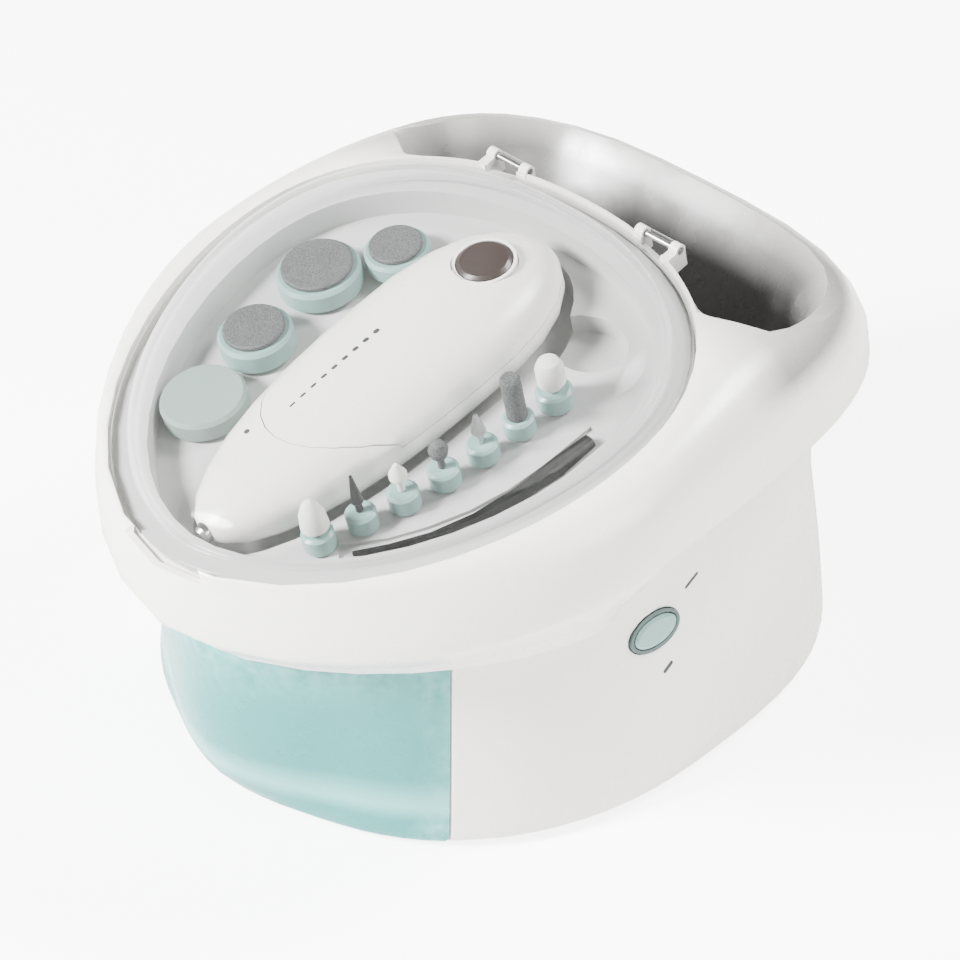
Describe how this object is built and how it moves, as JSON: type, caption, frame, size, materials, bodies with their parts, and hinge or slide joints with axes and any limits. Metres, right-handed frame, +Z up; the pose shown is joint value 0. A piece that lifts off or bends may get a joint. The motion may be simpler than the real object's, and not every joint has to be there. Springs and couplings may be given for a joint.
{
  "type": "nail care station",
  "caption": "Countertop manicure station: clear hinged lid over a tray with a cordless handpiece, discs and bits, carry grip behind, and a slide-out soaking basin.",
  "frame": {"origin": "centre of the plan, on the surface the station stands on", "axes": "+Z up; the basin slides out along -Y and the grip is at +Y; the power button is on the +X flank"},
  "size_m": [0.216, 0.252, 0.1613],
  "materials": {
    "white_shell": "glossy white moulding",
    "tray_grey": "satin pale grey moulding",
    "aqua_basin": "milky translucent aqua",
    "clear_lid": "clear polished",
    "aqua_trim": "satin grey aqua",
    "smoke_button": "polished dark brown",
    "abrasive": "gritty sapphire coating",
    "felt": "pressed felt",
    "steel": "turned steel",
    "dark_steel": "darkened steel",
    "black_rubber": "matte",
    "dark_trim": "satin dark green grey",
    "circuit": "solder mask green",
    "battery_green": "shrink sleeve",
    "brass": "turned"
  },
  "bodies": {
    "casing": {"adapter_socket": "dark_trim", "ball_bit": "abrasive", "ball_bit_collar": "aqua_trim", "base_plate": "white_shell", "base_screw_1": "steel", "base_screw_2": "steel", "base_screw_3": "steel", "base_screw_4": "steel", "buffing_cone_bit": "felt", "buffing_cone_bit_collar": "aqua_trim", "callus_disc": "aqua_trim", "callus_disc_pad": "abrasive", "charge_contact_left": "brass", "charge_contact_right": "brass", "coarse_disc": "aqua_trim", "coarse_disc_pad": "abrasive", "control_board": "circuit", "cuticle_pusher": "dark_steel", "cylinder_bit": "abrasive", "cylinder_bit_collar": "aqua_trim", "felt_cone_bit": "felt", "felt_cone_bit_collar": "aqua_trim", "fine_cone_bit": "steel", "fine_cone_bit_collar": "aqua_trim", "fine_disc": "aqua_trim", "fine_disc_pad": "abrasive", "flame_bit": "felt", "flame_bit_collar": "aqua_trim", "handpiece_battery": "battery_green", "handpiece_button_ring": "white_shell", "handpiece_circuit_board": "circuit", "handpiece_lower_shell": "white_shell", "handpiece_motor": "steel", "handpiece_upper_shell": "white_shell", "lid_hinge_pin_left": "steel", "lid_hinge_pin_right": "steel", "lower_housing": "white_shell", "motor_clamp": "tray_grey", "needle_bit": "dark_steel", "needle_bit_collar": "aqua_trim", "polishing_disc": "aqua_trim", "power_button_bezel": "dark_trim", "power_switch": "dark_trim", "rubber_foot_front_left": "black_rubber", "rubber_foot_front_right": "black_rubber", "rubber_foot_rear_left": "black_rubber", "rubber_foot_rear_right": "black_rubber", "splash_bulkhead": "tray_grey", "switch_board": "circuit", "tool_tray": "tray_grey", "upper_housing": "white_shell", "vibration_motor": "steel"},
    "lid": {"lid": "clear_lid"},
    "basin": {"soaking_basin": "aqua_basin"},
    "power_button": {"power_button": "aqua_trim"},
    "handpiece_button": {"handpiece_button": "smoke_button"},
    "spindle": {"handpiece_spindle": "steel"},
    "drive_weight": {"eccentric_weight": "brass"}
  },
  "joints": [
    {"name": "lid_hinge", "type": "hinge", "parent": "casing", "child": "lid", "pos_m": [0, 0.05991, 0.15227], "axis": [-1, 0, 0], "range_deg": [0, 100]},
    {"name": "basin_slide", "type": "slide", "parent": "casing", "child": "basin", "axis": [0, -1, 0], "range_m": [0, 0.078]},
    {"name": "power_button_press", "type": "slide", "parent": "casing", "child": "power_button", "axis": [-0.9516, 0.0259, -0.3062], "range_m": [0, 0.0015], "stiffness_N_per_m": 400, "springref_m": -0.0005},
    {"name": "handpiece_button_press", "type": "slide", "parent": "casing", "child": "handpiece_button", "axis": [0, 0.225, -0.9744], "range_m": [0, 0.001], "stiffness_N_per_m": 400, "springref_m": -0.0005},
    {"name": "spindle_spin", "type": "hinge", "parent": "casing", "child": "spindle", "pos_m": [0, -0.07111, 0.11566], "axis": [0, -0.9744, -0.225], "continuous": true},
    {"name": "drive_weight_spin", "type": "hinge", "parent": "casing", "child": "drive_weight", "pos_m": [0.02, 0.046, 0.026], "axis": [1, 0, 0], "continuous": true}
  ]
}
